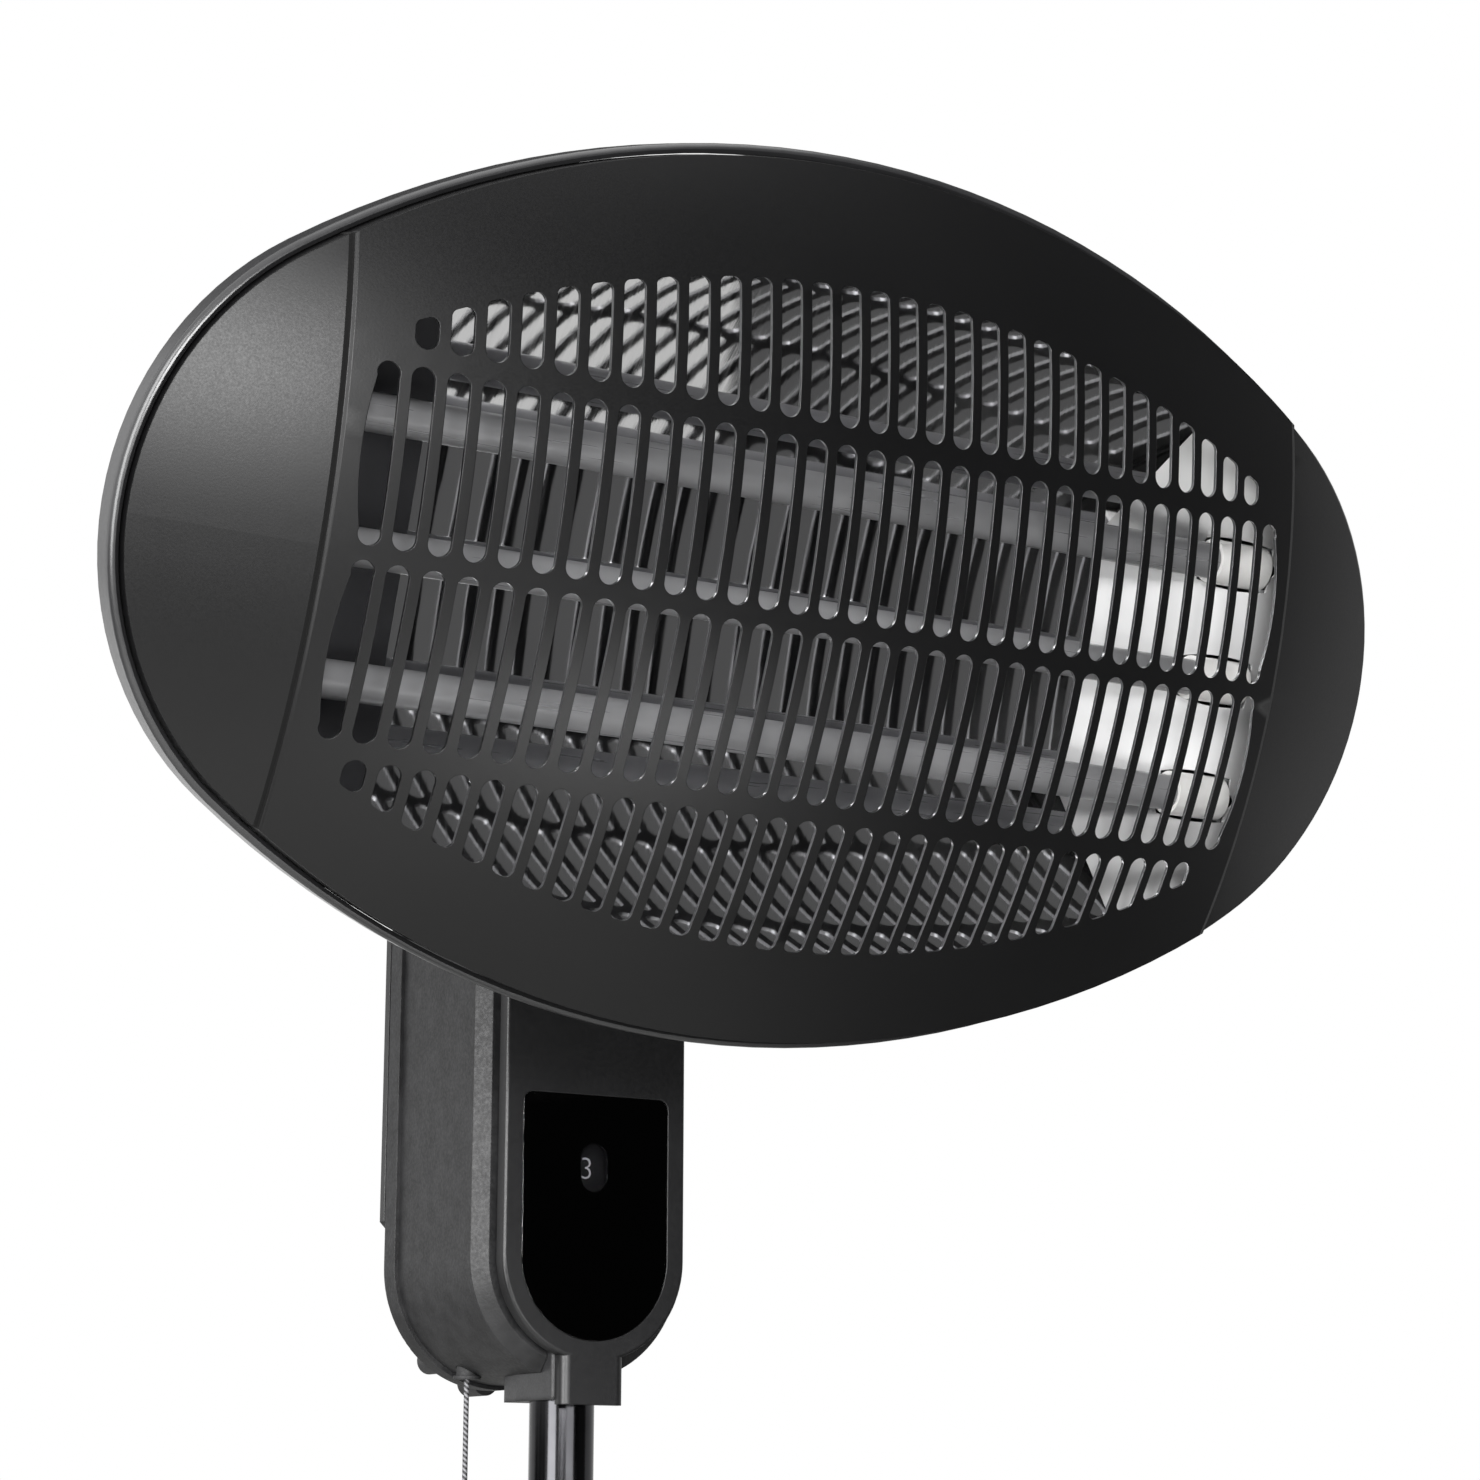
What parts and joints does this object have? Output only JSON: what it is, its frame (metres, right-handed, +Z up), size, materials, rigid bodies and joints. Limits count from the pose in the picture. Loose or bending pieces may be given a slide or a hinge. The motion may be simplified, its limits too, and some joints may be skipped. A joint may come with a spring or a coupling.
{
  "type": "quartz patio heater",
  "caption": "Free-standing heater with an oval slotted head on a tilting arm, a control box with a pull cord, a telescopic pole and a round weighted base.",
  "frame": {"origin": "middle of the base on the floor, on the pole's axis", "axes": "+Z up the pole, -Y the way the heater faces, +X to the right of a person facing it"},
  "size_m": [0.458, 0.43, 1.5545],
  "materials": {
    "powder_coat": "fine-textured satin black powder coat",
    "rim_enamel": "smooth semi-gloss black enamel",
    "box_plastic": "lightly textured black plastic",
    "cover_plastic": "smooth satin black plastic",
    "lens_acrylic": "dark tinted glossy acrylic",
    "knob_plastic": "satin black plastic",
    "pole_gloss": "glossy black enamel",
    "reflector_metal": "polished",
    "quartz": "frosted quartz",
    "heater_wire": "oxidised resistance wire",
    "ceramic": "white ceramic",
    "zinc_steel": "zinc plated",
    "black_steel": "blackened",
    "weight_iron": "painted casting",
    "foot_rubber": "matt",
    "inner_plastic": "moulded",
    "dial_plastic": "printed black",
    "gland_plastic": "satin black",
    "cord_braid": "grey braided nylon",
    "wire_sleeve": "woven glass sleeve"
  },
  "bodies": {
    "stand": {"base_cover": "powder_coat", "base_weight": "weight_iron", "base_feet": "foot_rubber", "base_washer": "zinc_steel", "base_bolt": "zinc_steel", "pole_plug": "inner_plastic", "pole_flange": "box_plastic", "lower_pole": "pole_gloss", "height_collar": "box_plastic", "pole_bush": "inner_plastic"},
    "height_clamp": {"height_knob": "knob_plastic", "height_screw": "zinc_steel"},
    "mast": {"upper_pole": "pole_gloss", "pole_slide_plug": "inner_plastic", "box_body": "box_plastic", "front_cover": "cover_plastic", "display_lens": "lens_acrylic", "rear_cover": "box_plastic", "cover_screws": "black_steel", "rear_plate": "powder_coat", "pole_socket": "box_plastic", "switch_body": "inner_plastic", "lever_pin": "zinc_steel", "return_spring": "zinc_steel", "cord_grommet": "foot_rubber", "terminal_block": "inner_plastic", "tip_over_switch": "inner_plastic", "mains_gland": "gland_plastic", "box_gland": "gland_plastic", "tilt_arm": "powder_coat", "arm_screws": "black_steel", "tilt_bolt": "zinc_steel", "tilt_washers": "inner_plastic"},
    "box_clamp": {"clamp_knob": "knob_plastic", "clamp_screw": "zinc_steel"},
    "lever": {"switch_lever": "inner_plastic"},
    "dial": {"indicator_disc": "dial_plastic", "indicator_shaft": "zinc_steel"},
    "pull": {"cord_link": "cord_braid", "pull_cord": "cord_braid", "cord_pull": "knob_plastic"},
    "head": {"front_grille": "powder_coat", "rim_ring": "rim_enamel", "rear_housing": "powder_coat", "head_gland": "gland_plastic", "head_yoke": "powder_coat", "yoke_screws": "black_steel", "reflector": "reflector_metal", "reflector_stand_offs": "zinc_steel", "thermal_cutout": "zinc_steel", "quartz_tube_upper": "quartz", "quartz_tube_middle": "quartz", "quartz_tube_lower": "quartz", "heating_cores": "heater_wire", "end_caps": "ceramic", "lead_wires": "wire_sleeve", "tube_bracket_left": "zinc_steel", "tube_bracket_right": "zinc_steel"},
    "tilt_clamp": {"tilt_knob": "knob_plastic"}
  },
  "joints": [
    {"name": "mast_slide", "type": "slide", "parent": "stand", "child": "mast", "axis": [0, 0, 1], "range_m": [0, 0.5]},
    {"name": "height_knob_turn", "type": "hinge", "parent": "stand", "child": "height_clamp", "pos_m": [0.03, 0, 0.893], "axis": [1, 0, 0], "range_deg": [0, 180]},
    {"name": "head_tilt", "type": "hinge", "parent": "mast", "child": "head", "pos_m": [0, -0.06449, 1.40973], "axis": [1, 0, 0], "range_deg": [-19.5, 25]},
    {"name": "tilt_knob_turn", "type": "hinge", "parent": "mast", "child": "tilt_clamp", "pos_m": [0.03, -0.06449, 1.40973], "axis": [1, 0, 0], "range_deg": [0, 180]},
    {"name": "clamp_knob_turn", "type": "hinge", "parent": "mast", "child": "box_clamp", "pos_m": [0, 0.06, 1.1995], "axis": [0, 1, 0], "range_deg": [0, 180]},
    {"name": "cord_pull", "type": "slide", "parent": "mast", "child": "pull", "axis": [0, 0, -1], "range_m": [0, 0.01047], "stiffness_N_per_m": 200, "springref_m": -0.008},
    {"name": "lever_turn", "type": "hinge", "parent": "mast", "child": "lever", "pos_m": [0, 0.038, 1.2548], "axis": [0, -1, 0], "range_deg": [0, 34.1]},
    {"name": "dial_turn", "type": "hinge", "parent": "mast", "child": "dial", "pos_m": [0, -0.0175, 1.239], "axis": [0, 1, 0], "continuous": true}
  ],
  "couplings": [
    {"joint": "lever_turn", "follows": "cord_pull", "rad_per_m": 56.694}
  ]
}
